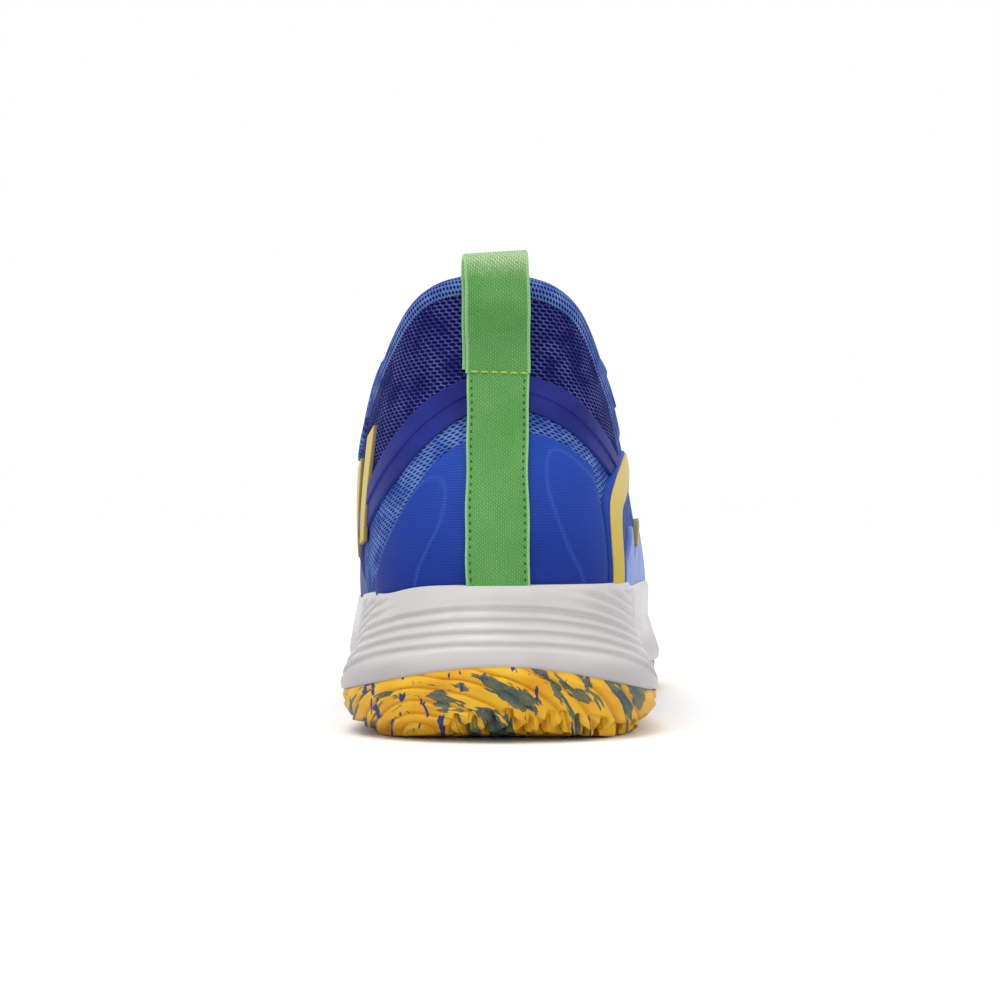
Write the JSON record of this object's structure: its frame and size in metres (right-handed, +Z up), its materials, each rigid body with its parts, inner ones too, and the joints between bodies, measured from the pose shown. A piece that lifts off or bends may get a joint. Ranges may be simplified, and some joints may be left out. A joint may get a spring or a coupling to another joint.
{
  "type": "court shoe",
  "caption": "Low-cut laced court shoe for the right foot with a padded collar, a tongue, a heel pull loop, a cushioned cup midsole and a wrapped gum rubber outsole.",
  "frame": {"origin": "on the floor, at the middle of the shoe's length and width", "axes": "+Y towards the toe, +X towards the outer side of the foot, +Z up"},
  "size_m": [0.0974, 0.2958, 0.1142],
  "materials": {
    "gum_rubber": "matt moulded rubber with grey-blue and navy marbling",
    "blue_plastic": "matt",
    "white_foam": "satin moulded foam",
    "green_gel": "matt gel foam",
    "grey_board": "matt fibre board",
    "grey_foam": "open-cell foam",
    "lining_fabric": "brushed knit",
    "light_mesh": "coarse air mesh",
    "navy_mesh": "open spacer mesh",
    "royal_film": "satin bonded film",
    "dark_film": "satin moulded film",
    "yellow_film": "satin bonded film",
    "green_webbing": "woven twill webbing",
    "lace_fabric": "braided"
  },
  "bodies": {
    "shoe": {"outsole_heel": "gum_rubber", "outsole_forefoot": "gum_rubber", "torsion_plate": "blue_plastic", "midsole": "white_foam", "heel_cushion_insert": "green_gel", "forefoot_cushion_insert": "green_gel", "lasting_board": "grey_board", "quarter_outer": "light_mesh", "quarter_inner": "light_mesh", "vamp": "light_mesh", "rear_collar_panel": "navy_mesh", "lining": "lining_fabric", "collar_foam": "grey_foam", "collar_rim": "light_mesh", "heel_counter": "blue_plastic", "toe_puff": "blue_plastic", "toe_cap_overlay": "royal_film", "forefoot_overlay_outer": "royal_film", "forefoot_overlay_inner": "royal_film", "eyestay_outer": "royal_film", "eyestay_inner": "royal_film", "heel_counter_overlay": "royal_film", "arc_band_outer": "dark_film", "arc_band_inner": "dark_film", "stripe_outer": "yellow_film", "bar_inner_rear": "yellow_film", "bar_inner_front": "yellow_film", "heel_strap": "green_webbing", "lace": "lace_fabric"},
    "pull_loop": {"pull_loop": "green_webbing"},
    "tongue": {"tongue_shell": "navy_mesh", "tongue_foam": "grey_foam", "tongue_lining": "lining_fabric", "tongue_label": "yellow_film"},
    "sockliner": {"sockliner_foam": "grey_foam", "sockliner_cover": "lining_fabric"}
  },
  "joints": [
    {"name": "pull_loop_fold", "type": "hinge", "parent": "shoe", "child": "pull_loop", "pos_m": [-0.0014, -0.13817, 0.08681], "axis": [1, 0, 0], "range_deg": [0, 75], "stiffness_Nm_per_rad": 0.005},
    {"name": "tongue_pivot", "type": "hinge", "parent": "shoe", "child": "tongue", "pos_m": [0, 0.0659, 0.0575], "axis": [1, 0, 0], "range_deg": [0, 12], "stiffness_Nm_per_rad": 0.3, "springref_deg": -5.73},
    {"name": "sockliner_lift", "type": "hinge", "parent": "shoe", "child": "sockliner", "pos_m": [0, 0.1285, 0.0275], "axis": [-1, 0, 0], "range_deg": [0, 5]}
  ]
}
